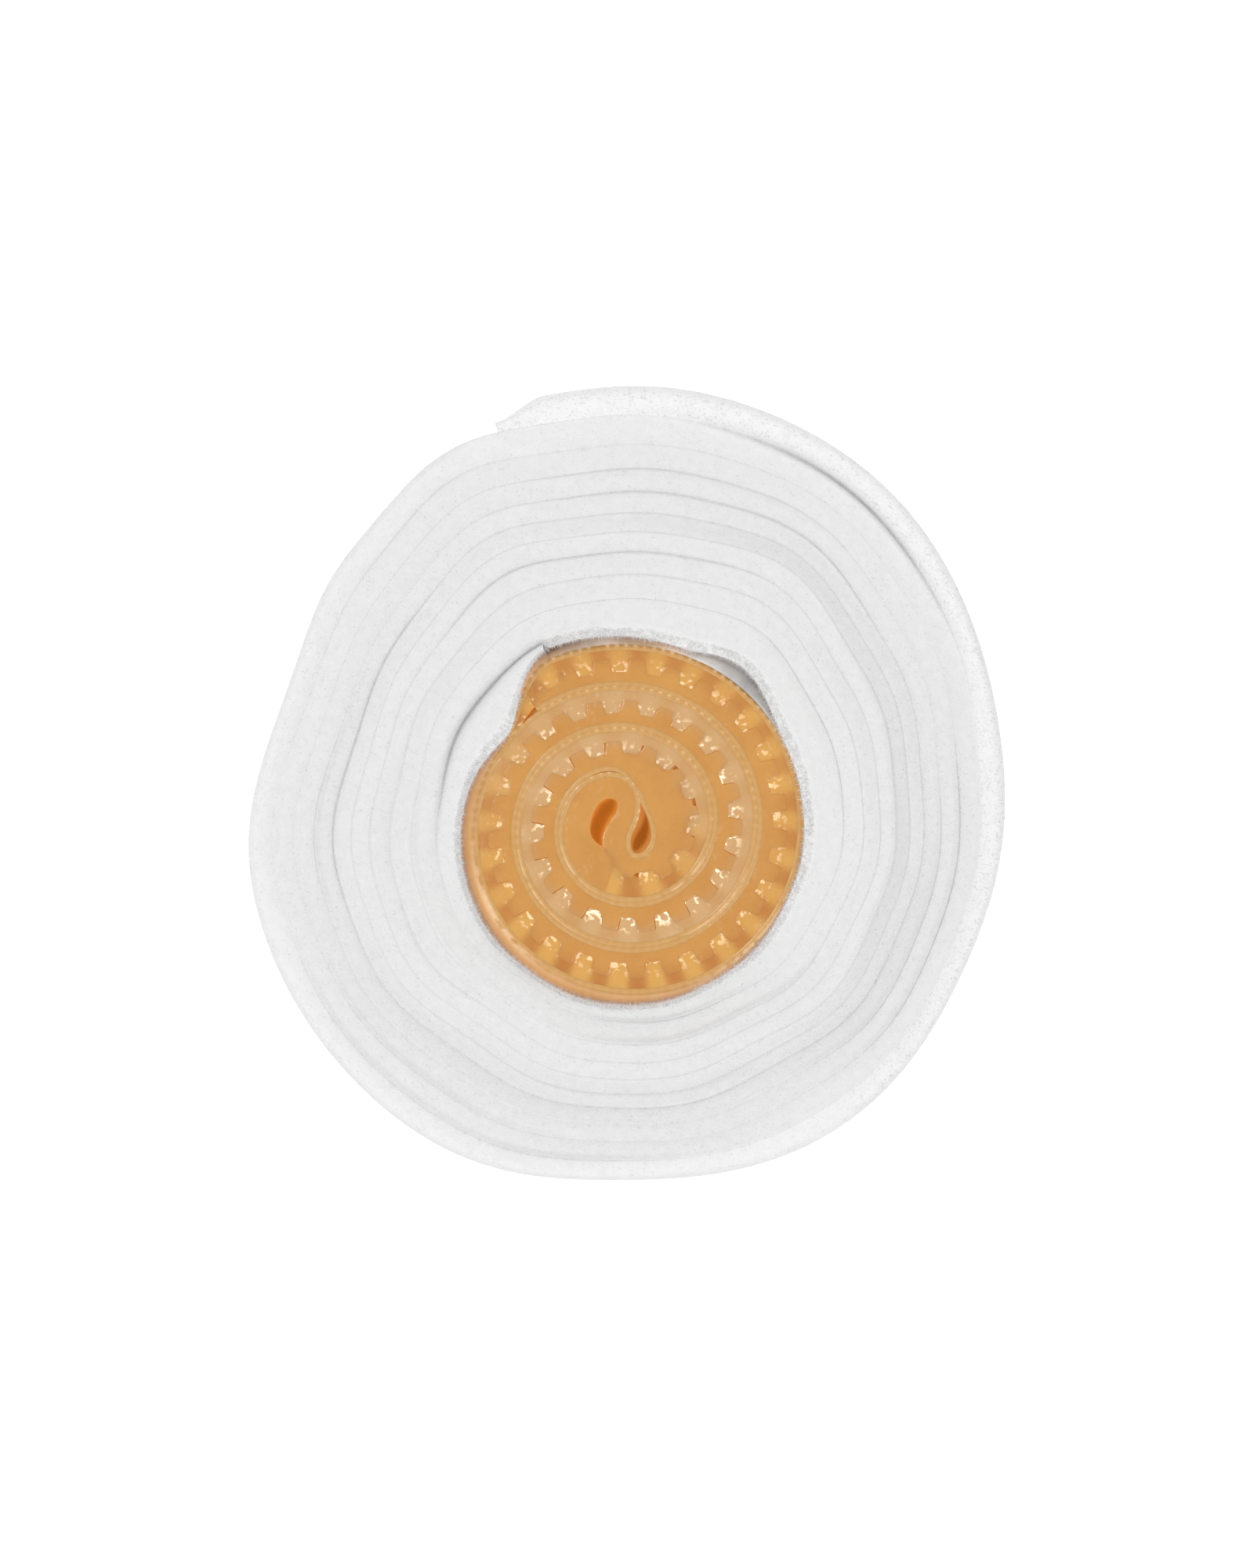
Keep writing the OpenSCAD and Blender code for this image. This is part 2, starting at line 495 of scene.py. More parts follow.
@dataclass(frozen=True)
class FilmFinish:
    """Thin clear film: glossy, nearly colourless, with soft creases. Where it bulges it is made
    less clear and painted with grey shade for the shadowed fleece behind it.
    """

    tint: Colour = (0.90, 0.90, 0.89)
    # shade: painted shade, grey patches for the shadowed fleece seen through the film.
    shade: Colour = (0.42, 0.43, 0.43)

    def material(self) -> bpy.types.Material:
        """Builds the material: a see-through gloss with creases from stretched noise, which also
        paints grey shade where the film is less clear.
        """
        nodes = Nodes("film")
        creases_and_shade = nodes.noise(160.0, detail=3.0, stretch=(1.0, 1.0, 0.2))
        colour = nodes.ramp(creases_and_shade, [(0.38, self.shade), (0.62, self.tint)])
        normal = nodes.bump(creases_and_shade, 0.0006, 0.4)
        # Less clear where it bulges, to show the painted shade.
        cover_alpha = nodes.math("MULTIPLY", nodes.attribute("bulge_cover"), 0.62)
        nodes.join(nodes.math("ADD", cover_alpha, 0.05), nodes.shader.inputs["Alpha"])
        nodes.set(Roughness=0.15, IOR=1.35, Subsurface_Weight=0.3,
                  Subsurface_Radius=(1.0, 1.0, 1.0), Subsurface_Scale=0.001)
        return nodes.finish(colour, normal)


# --- Plans of the two windings --------------------------------------------------------


@dataclass(frozen=True)
class CoilPlan:
    """Sizes of the ribbed strip's coil, in millimetres and degrees."""

    web: float = 1.25
    backing: float = 0.5
    rib_h: float = 1.44
    rib_w: float = 1.6
    rib_pitch: float = 4.1
    fold_r: float = 4.7
    fold_dir: float = 63.0
    fold_ease: float = 26.0
    pinch_h: float = 1.4
    outer_half: float = 1130.0
    inner_half: float = 964.0
    first_outer: float = 190.0
    seam: float = 0.05
    tongue: float = 30.0
    slant_drop: float = 14.0
    slant_half: float = 5.0
    place: tuple[float, float] = (-0.45, -4.3)
    settling: tuple[float, float] = (0.4, -0.9)

    @property
    def half_pitch(self) -> float:
        """Growth of the coil through one thickness of the strip."""
        return self.web + self.backing + self.rib_h / 2 + self.seam

    @property
    def pitch(self) -> float:
        """Growth of the coil in one turn of both halves."""
        return 2 * self.half_pitch

    @property
    def back(self) -> float:
        """Distance from the strip's line to the outside of its backing."""
        return self.half_pitch / 2 - self.seam / 2

    @property
    def glue(self) -> float:
        """Distance from the strip's line to the face between web and backing."""
        return self.back - self.backing

    @property
    def root(self) -> float:
        """Distance from the strip's line to the foot of the ribs, the other way."""
        return self.web - self.glue

    @property
    def tip(self) -> float:
        """Distance from the strip's line to the top of the ribs."""
        return self.rib_h + self.root - self.seam / 2

    @property
    def coil_r(self) -> float:
        """Radius of the coil at the strip's outer end."""
        return float(self.half_r(np.array(self.outer_half))) + self.back

    @property
    def end_dir(self) -> float:
        """Direction in which the strip's outer end lies."""
        return self.fold_dir + self.outer_half

    def half_r(self, p: Array) -> Array:
        """Distance from the fold after p degrees: an even spiral plus an eased reach.

        The last stretch past the strip's end, its squeezed tongue, sinks a little.
        """
        sink = 1.9 * smooth((p - self.outer_half) / self.tongue)
        return self.pitch * p / TURN + self.fold_r * np.tanh(p / self.fold_ease) - sink

    def squeeze(self, p: Array) -> Array:
        """How much thinner the strip's outer end is squeezed along its tongue."""
        return 2.5 * smooth((p - self.outer_half) / self.tongue)

    def pinch(self, p: Array) -> Array:
        """How far the inner half is pinched in beside the fold: a bell at 115 degrees."""
        return self.pinch_h * bell(p, 115.0, 48.0) * np.tanh(p / self.fold_ease)

    def line(self, p: Array) -> Array:
        """Strip's line about the fold: the two halves mirror each other through it."""
        turn = np.abs(p)
        radius = self.half_r(turn) - np.where(p < 0, self.pinch(turn), 0.0)
        return np.sign(p)[..., None] * ray(radius, self.fold_dir + turn)

    def settle(self, v: Array) -> Array:
        """Places the coil in the roll. Its outer turns sag by the square of their radius."""
        share = (np.linalg.norm(v, axis=-1, keepdims=True) / self.coil_r) ** 2
        return v + np.array(self.place) + np.array(self.settling) * share

    def beside(self, p: Array, offset: Array | float) -> Array:
        """Points beside the strip's line, at an offset along its left-hand normal."""
        ahead = self.line(p + 0.5) - self.line(p - 0.5)
        left = np.stack([-ahead[..., 1], ahead[..., 0]], axis=-1)
        left /= np.linalg.norm(left, axis=-1, keepdims=True)
        return self.settle(self.line(p) + np.asarray(offset)[..., None] * left)

    def sections(self, p: Array, profile: Sequence[tuple[Array | float, Array | float]],
                 height: float, middle: Array) -> tuple[Array, Array]:
        """Section of a wall of the coil at each p.

        The rim has gentle hills: a sine of x plus a sine of y. They belong to the place
        and not to the strip, so that turns which lie together are level.

        Args:
            p: Degrees along the strip.
            profile: Offset beside the line and drop below the rim of each point.
            height: Height of the coil in millimetres.
            middle: Middle of the roll's box.

        Returns:
            Places in millimetres by p and point, and the drop of each.
        """
        xy = np.stack([self.beside(p, offset) for offset, _ in profile], axis=1)
        drop = np.stack([drop + 0 * p for _, drop in profile], axis=1)
        hills = 0.12 * (np.sin(0.42 * xy[..., 0] + 1.0) + np.sin(0.37 * xy[..., 1] - 0.5))
        z = np.maximum(height - 0.35 + hills - drop, 0.0)
        return np.concatenate([xy - middle, z[..., None]], axis=-1), drop

    def around(self, p: Array) -> Array:
        """Direction in which a place of the strip lies, 0 to 360 degrees."""
        return part_turn(self.fold_dir + np.where(p < 0, TURN / 2 - p, p))

    def turn_at(self, s: Array) -> Array:
        """Degrees of the line between meshed turns at which its length is s."""
        growth = self.pitch / (2 * np.pi)
        return np.degrees((np.sqrt(self.fold_r**2 + 2 * growth * s) - self.fold_r) / growth)

    def length_at(self, q: Array) -> Array:
        """Length of the line between meshed turns after q degrees."""
        angle = np.radians(q)
        return self.pitch / (4 * np.pi) * angle**2 + self.fold_r * angle

    def rib_share(self, p: Array) -> Array:
        """How far a rib stands up, with eased flanks.

        Args:
            p: Degrees along the strip.

        Returns:
            1 on a rib and 0 in a groove.
        """
        outer = p > 0
        length = self.length_at(np.abs(p) + np.where(outer, -90.0, 90.0))
        spread, flank = 0.08, 0.03
        phase = np.mod(length / self.rib_pitch - np.where(outer, 0.2, 0.7) + spread, 1.0)
        width = self.rib_w / self.rib_pitch + 2 * spread
        rib = smooth(phase / flank) * smooth((width - phase) / flank)
        return np.where(p > self.outer_half - 2.0, 1.0, rib)

    def ribbed_side(self, p: Array) -> Array:
        """Offset of the ribbed side: ribs on a web, pressed together at the fold.

        The fold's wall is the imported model's, and three bells close it further where the
        soft gel meets itself beside and below the left-hand opening.

        Args:
            p: Degrees along the strip.

        Returns:
            Offsets from the strip's line in millimetres.
        """
        fold = np.where(
            p > -25.0,
            (1.3 + bell(p, 158.0, 28.0)) * smooth((p + 5.0) / 35.0) * smooth((240.0 - p) / 35.0)
            + self.rib_h / 3 * smooth(1.0 - np.abs(p) / 20.0),
            1.1 * self.pinch(-p) + 1.0 * bell(p, -140.0, 80.0))
        lift = np.where(p < -25.0, 1.1 * self.pinch(-p), 0.0)
        closed = (0.45 * bell(p, 107.0, 30.0) + 1.5 * bell(p, 182.0, 24.0)
                  + 1.35 * bell(p, -14.0, 14.0))
        ribbed = np.where(p > 0, p > self.first_outer, smooth((-p - 15.0) / 20.0))
        ribs = (self.tip - self.root + 0.17) * self.rib_share(p) * ribbed
        return self.root + closed + np.maximum(ribs + lift, fold)

    def ribbed_slant(self, p: Array) -> Array:
        """How far the ribbed side slants across the left-hand opening below the rim."""
        return 1.5 * bell(p, 80.0, 42.0) + 1.9 * bell(p, 2.0, 18.0)

    def smooth_slant(self, p: Array) -> Array:
        """How far the smooth side slants across the right-hand opening below the rim."""
        return 1.9 * bell(p, 8.0, 22.0) + 1.6 * bell(p, -72.0, 40.0)

    def fill(self, p: Array) -> Array:
        """Extra reach of the smooth side, which closes the right-hand opening's top."""
        return 2.0 * bell(p, -150.0, 38.0) + 1.0 * bell(p, -188.0, 20.0)

    def steps(self) -> Array:
        """Values of p along the strip: twenty to a rib, and every 2 degrees at the fold."""
        def even(start: float, stop: float) -> Array:
            """Degrees at which the line's length grows evenly."""
            span = self.length_at(np.array([start, stop]))
            count = int((span[1] - span[0]) / self.rib_pitch * 20)
            return self.turn_at(np.linspace(span[0], span[1], count))
        outer = even(self.first_outer - 90.0, self.outer_half + self.tongue - 90.0) + 90.0
        inner = 90.0 - even(150.0, self.inner_half + 90.0)[::-1]
        fold = np.arange(-58.0, self.first_outer, 2.0)
        return np.concatenate([inner, fold, outer])

    def frost(self, p: Array) -> Array:
        """Where the strip looks frosted: the middle turns of its outer half."""
        return smooth((p - 250.0) / 80.0) * smooth((850.0 - p) / 80.0)

    def rim_r(self, a: Array, ramp: float = 30.0) -> Array:
        """Radius round the coil's rim: it grows with the coil and steps down at its end."""
        q = part_turn(a - self.end_dir)
        return self.coil_r - self.pitch * (smooth(q / ramp) - q / TURN) + self.seam

    def swell(self, a: Array) -> Array:
        """How much wider the coil is below its rim: least on the right and at its end."""
        angle = np.radians(a)
        even = 0.95 - 0.75 * np.cos(angle) - 0.1 * np.sin(angle) - 0.2 * np.cos(2 * angle)
        return even * (1.0 - 0.8 * bell(round_trip(a, 138.0), 138.0, 20.0))

    def bulge(self, a: Array) -> Array:
        """How far the sleeve stands off the coil: a bell at 52 and a small one at 100."""
        return (1.7 * bell(round_trip(a, 54.0), 54.0, 18.0)
                + 0.5 * bell(round_trip(a, 100.0), 100.0, 14.0))

    def sleeve_r(self, a: Array) -> Array:
        """Radius of the sleeve at its widest, below the rim."""
        return self.rim_r(a) + np.maximum(self.swell(a), self.bulge(a))


@dataclass(frozen=True)
class RollPlan:
    """Sizes of the fleece winding, in millimetres and degrees."""

    roll_r: float = 43.4
    layer: float = 2.4
    free_end: float = 110.0
    loose_turn: float = 95.0
    clearance: float = 0.3
    start: float = 115.0
    turns: int = 10
    lobes: tuple[tuple[int, float, float], ...] = (
        (1, 1.2, 255.0), (2, 1.4, 75.0), (3, 0.6, 85.0),
        (4, 0.4, 35.0), (6, 0.3, 5.0), (7, 0.3, 40.0))
    dents: tuple[tuple[float, float, float], ...] = (
        (1.9, 118.0, 12.0), (0.9, 144.0, 12.0), (0.7, 212.0, 28.0), (0.3, 60.0, 60.0))
    bore_gap: float = 0.15
    even_wall: float = 25.0
    coil: CoilPlan = field(default_factory=CoilPlan)

    @property
    def end(self) -> float:
        """Unwound direction of the loose outer end."""
        return self.free_end + TURN * self.turns

    @property
    def hinge(self) -> float:
        """Unwound direction in which the loose end leaves the roll."""
        return self.end - self.loose_turn

    def winding_r(self, a: Array, layers: float = 0.0) -> Array:
        """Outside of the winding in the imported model: lobes plus a layer in each turn."""
        waves = sum(h * np.cos(np.radians(n * (a - d))) for n, h, d in self.lobes)
        return self.roll_r + waves + self.layer * ((a - self.free_end) / TURN - layers)

    def middle(self) -> Array:
        """Middle of the roll's box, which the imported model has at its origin."""
        last = self.free_end + TURN
        root = last - self.loose_turn
        gap = np.degrees(self.clearance / self.roll_r)
        tail = np.append(np.arange(root + gap, last - 1, 3.0), last)
        bends = [(np.arange(self.free_end, root + 1, 3.0), 0.0, 0.0),
                 (np.arange(root, last - 1, 3.0), 1.0, 0.0),
                 (tail, 0.0, 0.0), (tail, 1.0, self.clearance)]
        points = np.concatenate([ray(self.winding_r(a, n) + out, a) for a, n, out in bends])
        return (points.min(axis=0) + points.max(axis=0)) / 2

    def share(self, unwound: Array) -> Array:
        """Depth in the wall of a turn's inner face: 0 at the bore, 1 at the outside."""
        t = (unwound - self.start) / (self.end + TURN - self.start)
        return t + 0.03 * np.sin(2 * np.pi * t)

    def bore_lag(self, unwound: Array, wall: Array) -> Array:
        """How far a turn lies from the even winding so that the first hugs the coil.

        The first turn takes the sleeve's radius plus a gap. Each later turn keeps part
        of what is left at the end of the first one.

        Args:
            unwound: Unwound directions in degrees.
            wall: Thickness of the whole winding there.

        Returns:
            Distances outwards in millimetres.
        """
        first = self.start + TURN

        def lag(at: Array, thickness: Array) -> Array:
            """What the even winding lacks to lie against the sleeve."""
            bore = self.coil.sleeve_r(np.minimum(at, first - 4.0)) + self.bore_gap
            return bore - self.inner_r(at) - self.share(at) * thickness
        left = lag(np.array(first), np.array(self.even_wall))
        fade = np.exp(-np.maximum(unwound - first, 0.0) / TURN * 0.5)
        return np.where(unwound < first, lag(unwound, wall), left * fade)

    def inner_r(self, a: Array) -> Array:
        """Even inner outline about the coil: a circle pushed out towards 54 degrees."""
        return 19.9 + 1.6 * np.cos(np.radians(a - 54.0))

    def face(self, unwound: Array) -> Array:
        """Inner face of the winding, unwound direction by direction, in the roll's plane.

        A point lies between the inner and outer outlines, at the share of its turn, plus
        the bore's lag and gentle waves that are strongest half way through the wall.

        Args:
            unwound: Unwound directions in degrees.

        Returns:
            Points in millimetres.
        """
        a = unwound
        inner = self.coil.settle(ray(self.inner_r(a), a))
        outline = self.roll_r + self.layer + sum(
            h * np.cos(np.radians(n * (a - d))) for n, h, d in self.lobes) + sum(
            h * bell(round_trip(a, d), d, w) for h, d, w in self.dents)
        outer = ray(outline, a)
        wall = np.linalg.norm(outer - inner, axis=-1)
        g = self.share(a)
        radians = np.radians(a)
        waves = 4 * g * (1 - g) * (
            0.45 * np.cos(5 * radians + 1.2 + 1.5 * g) + 0.35 * np.cos(7 * radians - 0.6 - 2 * g)
            + 0.25 * np.cos(11 * radians + 2.0) - 0.9 * bell(round_trip(a, 121.0), 121.0, 12.0))
        across = ray(np.ones_like(a), a)
        return (inner * (1 - g[..., None]) + outer * g[..., None]
                + across * (waves + self.bore_lag(a, wall))[..., None])


# --- Fleece ---------------------------------------------------------------------------


@dataclass
class Fleece:
    """The long fleece strip: its turns on the roll, its loose end and its nap."""

    plan: RollPlan
    width: float
    finish: bpy.types.Material
    step: float = 1.5
    seam: float = 0.15
    end_row: float = 0.03
    fibre_r: float = 0.035
    bend_reach: tuple[float, float] = (-4.0, 8.0)
    split_before: float = 70.0
    shares: tuple[float, ...] = (0.0, 0.04, 0.1, 0.2, 0.35, 0.5, 0.65, 0.78, 0.87, 0.93, 0.97, 1.0)
    walls: tuple[float, ...] = (0.0, 0.25, 0.5, 0.75, 0.92)

    def height_at(self, unwound: Array) -> Array:
        """Height of the upper edge along the line between two turns.

        The middle turns sit lower than the others, and slow waves that don't repeat
        from turn to turn lift and sink it a little.

        Args:
            unwound: Unwound directions in degrees.

        Returns:
            Heights in millimetres.
        """
        g = self.plan.share(unwound)
        uneven = wander(np.radians(unwound), [
            (0.45, 0.37, 1.9), (0.45, 0.83, 0.4), (0.34, 1.9, 2.0), (0.15, 4.3, 1.0)])
        sink = 3.0 * bell(g, 0.60, 0.20) + 0.4 * smooth((0.2 - g) / 0.2)
        return self.width - 0.9 - sink + uneven

    def tone(self, unwound: Array) -> Array:
        """Lightness of a turn, painted light: the outermost is lightest and the inner turns darker.
        """
        g = self.plan.share(unwound)
        return 0.04 + 0.58 * smooth((g - 0.68) / 0.32)

    def crack(self, unwound: Array) -> Array:
        """Depth of the crack between two turns: one by the bore, one under the end."""
        inner = 1.6 * bell(unwound, self.plan.start + TURN + 28.0, 30.0)
        outer = 2.0 * bell(unwound, self.plan.end - 56.0, 24.0)
        return inner + outer + 0.10

    def edge(self, unwound: Array, share: Array) -> Array:
        """Height of a turn's upper edge.

        It runs from the line below the turn to the line above it, with a faint crown, a
        thin ridge in places, a crack on either side, and a round shoulder where the turn
        lies open to the bore or to the outside.

        Args:
            unwound: Unwound directions in degrees.
            share: Position across the turn, 0 inside and 1 outside.

        Returns:
            Heights in millimetres.
        """
        level = self.height_at(unwound) * (1 - share) + self.height_at(unwound + TURN) * share
        patches = smooth(wander(np.radians(unwound), [(0.5, 1.31, 0.0), (0.5, 2.77, 1.0)]) * 1.5)
        ridge = (0.14 + 0.36 * patches) * bell(share, 0.93, 0.08)
        cracks = (self.crack(unwound) * bell(share, 0.0, 0.13)
                  + self.crack(unwound + TURN) * bell(share, 1.0, 0.13))
        outside = smooth((unwound - self.plan.end + TURN) / 10.0)
        inside = smooth((self.plan.start + TURN - unwound) / 10.0)
        shoulder = (1.5 * outside * np.clip((share - 0.55) / 0.45, 0.0, 1.0) ** 2.5
                    + 0.35 * inside * np.clip((0.45 - share) / 0.45, 0.0, 1.0) ** 2.5)
        crown = 0.10 * (1.0 - (2.0 * share - 1.0) ** 2)
        return level + crown + ridge * (1 - outside) - cracks - shoulder

    def faces_of(self, unwound: Array) -> tuple[Array, Array]:
        """Inner and outer face of a turn. Turns press into each other by the seam.

        Args:
            unwound: Unwound directions in degrees.

        Returns:
            Points of the inner face and points of the outer face.
        """
        inner, outer = self.plan.face(unwound), self.plan.face(unwound + TURN)
        across = ray(np.ones_like(unwound), unwound)
        inside = smooth((unwound - self.plan.start - TURN) / 10.0)
        inner = inner - across * (self.seam * inside)[..., None]
        taper = 0.4 + 0.6 * smooth((self.plan.end - unwound) / 8.0)
        return inner, inner + (outer - inner) * taper[..., None]

    def sections(self, unwound: Array) -> Array:
        """Section of the strip at each unwound direction.

        The section runs up the inner wall, across the edge and down the outer wall. The
        outer turns' walls are wrinkled by three waves round the roll that lean with
        height.

        Args:
            unwound: Unwound directions in degrees.

        Returns:
            Places in millimetres, by direction and by point of the section.
        """
        inner, outer = self.faces_of(unwound)
        share = np.array(self.shares)[None, :, None]
        edge_xy = inner[:, None] * (1 - share) + outer[:, None] * share
        edge_z = self.edge(unwound[:, None], share[..., 0])
        rise, count = np.array(self.walls)[None, :], len(self.walls)
        xy = np.concatenate([np.repeat(inner[:, None], count, 1), edge_xy,
                             np.repeat(outer[:, None], count, 1)], axis=1)
        z = np.concatenate([rise * edge_z[:, :1], edge_z, rise[:, ::-1] * edge_z[:, -1:]], axis=1)
        g = self.plan.share(unwound)[:, None]
        angle = np.radians(unwound)[:, None]
        wrinkle = g**3 * (0.32 * np.sin(4 * angle + 0.07 * z + 1.0)
                          + 0.20 * np.sin(9 * angle - 0.11 * z)
                          + 0.10 * np.sin(17 * angle + 0.19 * z + 2.0))
        wrinkle = wrinkle * smooth(z / 12.0) * smooth((self.width - z) / 12.0)
        xy = xy + wrinkle[..., None] * ray(np.ones_like(angle), np.degrees(angle))
        return np.concatenate([xy - self.plan.middle(), z[..., None]], axis=-1)

    def strip(self, name: str, start: float, stop: float) -> tuple[bpy.types.Object, float]:
        """Builds a stretch of the strip.

        A row lies right beside each end, so that the end face's normal doesn't shade
        the wall next to it.

        Args:
            name: Name of the piece.
            start: Unwound direction where it starts.
            stop: Unwound direction where it stops.

        Returns:
            The piece and its length along the winding in millimetres.
        """
        even = np.linspace(start + self.end_row, stop - self.end_row,
                           int((stop - start) / self.step) + 1)
        unwound = np.concatenate([[start], even, [stop]])
        grid = self.sections(unwound)
        rows, columns = grid.shape[:2]
        count = len(self.walls)
        tone = np.repeat(self.tone(unwound)[:, None], columns, 1)
        # Painted glow where shade falls: the bore side of the first turn and the cracks between
        # turns.
        first = smooth((self.plan.start + TURN - unwound) / 10.0)
        lit = np.zeros((rows, columns))
        fades = np.concatenate([np.ones(count + 1), [0.85, 0.6, 0.3]])
        lit[:, :count + 4] = first[:, None] * fades[None]
        lit[:, count] += 0.6 * np.clip(self.crack(unwound), 0.0, 1.0)
        lit[:, -count - 1] += 0.6 * np.clip(self.crack(unwound + TURN), 0.0, 1.0)
        piece = mesh_object(name, grid.reshape(-1, 3), tube_faces(rows, columns), self.finish,
                            {"tone": tone, "lit": np.clip(lit, 0.0, 1.0)})
        middle = grid[:, [0, -1], :2].mean(axis=1)
        length = float(np.linalg.norm(np.diff(middle, axis=0), axis=1).sum())
        return piece, length

    def nap(self, name: str, start: float, stop: float, count: int, side: int,
            random: np.random.Generator) -> bpy.types.Object:
        """Builds the nap of a stretch: fibres on its upper edge and on its open wall.

        Fibres of the edge stand up and lean at random. Where the turn lies open to the
        bore, longer ones lean inwards over the coil.

        Args:
            name: Name of the piece.
            start: Unwound direction where the stretch starts.
            stop: Unwound direction where it stops.
            count: Fibres on the upper edge.
            side: Fibres on the outer wall, which only the outermost turn shows.
            random: Seeded source of random numbers.

        Returns:
            The new piece.
        """
        low, high = start - self.plan.start + 2900.0, stop - self.plan.start + 2900.0
        pick = random.random(count)
        unwound = np.sqrt(low**2 + pick * (high**2 - low**2)) - 2900.0 + self.plan.start
        bore = int(count * 0.25) if start == self.plan.start else 0
        unwound[:bore] = self.plan.start + TURN * random.random(bore)
        share = random.random(count)
        share[:bore] = 0.25 * random.random(bore)
        inner, outer = self.faces_of(unwound)
        xy = inner * (1 - share)[:, None] + outer * share[:, None] - self.plan.middle()
        roots = np.column_stack([xy, self.edge(unwound, share) - 0.05])
        across = np.column_stack([ray(np.ones(count), unwound), np.zeros(count)])
        leans = np.array([0.0, 0.0, 0.8]) + random.normal(0.0, 0.6, (count, 3))
        length = 0.15 + 0.25 * random.random(count) ** 2
        leans[:bore] -= 1.4 * across[:bore]
        length[:bore] = 0.3 + 0.7 * random.random(bore)
        leans *= (length / np.linalg.norm(leans, axis=1))[:, None]
        if side:
            wall, wall_leans = self.wall_fibres(start, stop, side, random)
            roots = np.concatenate([roots, wall])
            leans = np.concatenate([leans, wall_leans])
        # Painted glow on the fibres that lean over the bore.
        over = np.zeros(len(roots))
        over[:bore] = 0.5
        tone = np.full(len(roots), 0.45)
        return spikes(name, roots, leans, self.fibre_r, self.finish,
                      {"tone": tone, "lit": over})

    def wall_fibres(self, start: float, stop: float, count: int,
                    random: np.random.Generator) -> tuple[Array, Array]:
        """Fibres on the outer wall of the outermost turn.

        Args:
            start: Unwound direction where the stretch starts.
            stop: Unwound direction where it stops.
            count: Number of fibres.
            random: Seeded source of random numbers.

        Returns:
            Their roots and their leans in millimetres.
        """
        low = max(start, self.plan.end - TURN)
        unwound = low + (stop - low) * random.random(count)
        grid = self.sections(unwound)
        wall = grid[:, -len(self.walls):][:, ::-1]
        height = (0.02 + 0.98 * random.random(count)) * (len(self.walls) - 1)
        k = height.astype(int)
        part = (height - k)[:, None]
        rows = np.arange(count)
        roots = wall[rows, k] * (1 - part) + wall[rows, k + 1] * part
        across = np.column_stack([ray(np.ones(count), unwound), np.zeros(count)])
        leans = across + random.normal(0.0, 0.6, (count, 3))
        leans *= ((0.3 + 0.4 * random.random(count)) / np.linalg.norm(leans, axis=1))[:, None]
        return roots, leans

    def build(self) -> None:
        """Makes the turns, the loose end and their nap, and ties the turns and their nap to the
        wrap's body.
        """
        random = np.random.default_rng(SEED)
        split = self.plan.hinge - self.split_before
        turns, turns_length = self.strip("fleece_turns", self.plan.start, split)
        end, end_length = self.strip("fleece_end", split, self.plan.end)
        turns_nap = self.nap("fleece_turns_nap", self.plan.start, split, 26000, 5000, random)
        end_nap = self.nap("fleece_end_nap", split, self.plan.end, 6000, 4000, random)
        for piece in (turns, turns_nap):
            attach(piece, Body.WRAP.value)
        root = ray(np.array(self.plan.winding_r(self.plan.hinge - TURN * (self.plan.turns - 1))),
                   np.array(self.plan.hinge)) - self.plan.middle()
        for piece in (end, end_nap):
            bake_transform(piece)
        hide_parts("fleece_wrap")
        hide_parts("fleece_tail")
        LOG.info("fleece: %.0f mm on the roll and %.0f mm of end", turns_length, end_length)


# --- Coil -----------------------------------------------------------------------------


